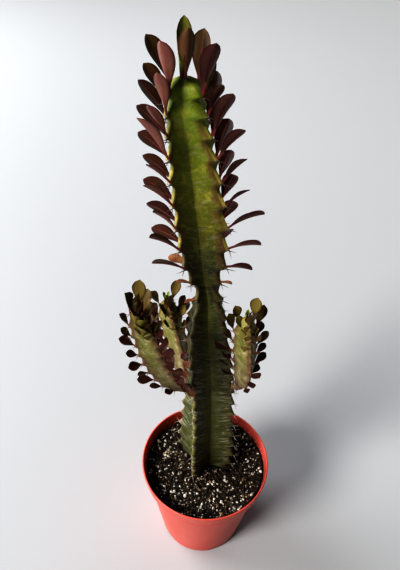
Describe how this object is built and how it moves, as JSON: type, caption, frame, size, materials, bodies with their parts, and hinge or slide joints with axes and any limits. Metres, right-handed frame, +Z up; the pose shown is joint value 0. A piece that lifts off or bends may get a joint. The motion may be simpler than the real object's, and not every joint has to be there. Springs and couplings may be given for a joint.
{
  "type": "potted euphorbia",
  "caption": "Upright ribbed succulent with side branches and rows of spoon-shaped leaves, growing in soil in a tapered round nursery pot.",
  "frame": {"origin": "middle of the pot's flat underside, on the surface the pot stands on", "axes": "+Z up, along the plant; +Y away from the usual front view, +X to its right"},
  "size_m": [0.1655, 0.152, 0.6096],
  "materials": {
    "coral_plastic": "satin",
    "potting_soil": "matte",
    "stem_skin": "satin",
    "branch_skin": "satin",
    "maroon_leaf": "satin",
    "green_leaf": "satin"
  },
  "bodies": {
    "root": {"apex_leaf_1": "green_leaf", "apex_leaf_2": "green_leaf", "apex_leaf_3": "green_leaf", "leaf_a01": "maroon_leaf", "leaf_a02": "maroon_leaf", "leaf_a03": "maroon_leaf", "leaf_a04": "maroon_leaf", "leaf_a05": "maroon_leaf", "leaf_a06": "maroon_leaf", "leaf_a07": "maroon_leaf", "leaf_a08": "maroon_leaf", "leaf_a09": "maroon_leaf", "leaf_a10": "maroon_leaf", "leaf_a11": "maroon_leaf", "leaf_b01": "maroon_leaf", "leaf_b02": "maroon_leaf", "leaf_b03": "maroon_leaf", "leaf_b04": "maroon_leaf", "leaf_b05": "maroon_leaf", "leaf_b06": "maroon_leaf", "leaf_b07": "maroon_leaf", "leaf_b08": "maroon_leaf", "leaf_b09": "maroon_leaf", "leaf_b10": "maroon_leaf", "leaf_c01": "maroon_leaf", "leaf_c02": "maroon_leaf", "leaf_c03": "maroon_leaf", "leaf_c04": "maroon_leaf", "leaf_c05": "maroon_leaf", "leaf_c06": "maroon_leaf", "leaf_c07": "maroon_leaf", "leaf_c08": "maroon_leaf", "leaf_c09": "maroon_leaf", "leaf_c10": "maroon_leaf", "leaf_d01": "maroon_leaf", "leaf_d02": "maroon_leaf", "leaf_d03": "maroon_leaf", "leaf_d04": "maroon_leaf", "leaf_d05": "maroon_leaf", "leaf_d06": "maroon_leaf", "leaf_d07": "maroon_leaf", "leaf_d08": "maroon_leaf", "leaf_d09": "maroon_leaf", "leaf_d10": "maroon_leaf", "left_front_branch": "branch_skin", "left_front_leaf_1": "maroon_leaf", "left_front_leaf_2": "maroon_leaf", "left_front_leaf_3": "maroon_leaf", "left_front_leaf_4": "maroon_leaf", "left_front_leaf_5": "maroon_leaf", "left_rear_branch": "branch_skin", "left_rear_leaf_1": "maroon_leaf", "left_rear_leaf_2": "maroon_leaf", "main_stem": "stem_skin", "pot": "coral_plastic", "right_branch": "branch_skin", "right_leaf_1": "maroon_leaf", "right_leaf_2": "maroon_leaf", "right_leaf_3": "maroon_leaf", "soil": "potting_soil"}
  },
  "joints": []
}
